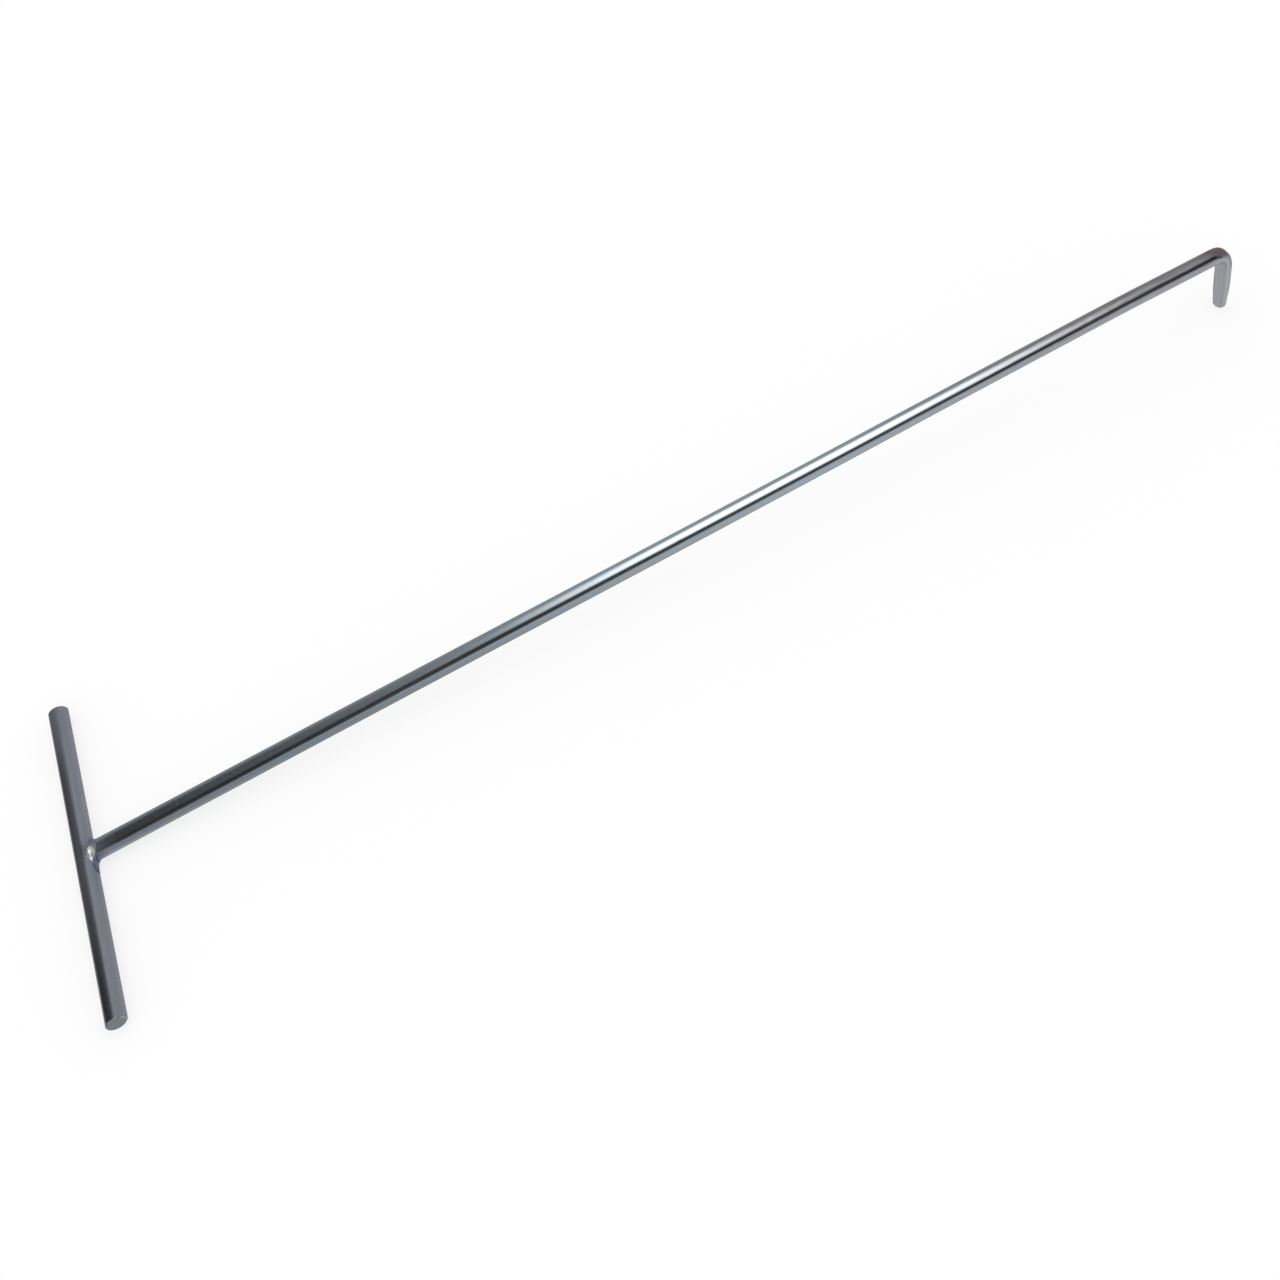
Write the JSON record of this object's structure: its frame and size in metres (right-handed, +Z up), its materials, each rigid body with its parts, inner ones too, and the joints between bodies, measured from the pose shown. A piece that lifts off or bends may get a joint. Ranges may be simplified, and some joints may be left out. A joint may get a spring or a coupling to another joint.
{
  "type": "t-handle pull hook",
  "caption": "Straight round steel bar with a welded T cross-bar grip at one end and a short right-angle hook bent into the other, for reaching down and pulling.",
  "frame": {"origin": "where the long bar's axis meets the middle of the cross bar's axis, in the centre of the grip", "axes": "+X along the long bar from the grip to the hook, +Y along the cross bar, +Z up with the hook's leg pointing down along -Z"},
  "size_m": [0.71, 0.17, 0.0566],
  "materials": {
    "handle_plate": "bright zinc plate over drawn bar, satin, cool grey",
    "rod_plate": "bright zinc plate over drawn bar, fine lengthwise draw lines",
    "weld_metal": "zinc-plated weld bead, shiny and rippled, faint blue passivation tint"
  },
  "bodies": {
    "root": {"handle_bar": "handle_plate", "pull_rod": "rod_plate", "weld_bead_upper": "weld_metal", "weld_bead_lower": "weld_metal"}
  },
  "joints": []
}
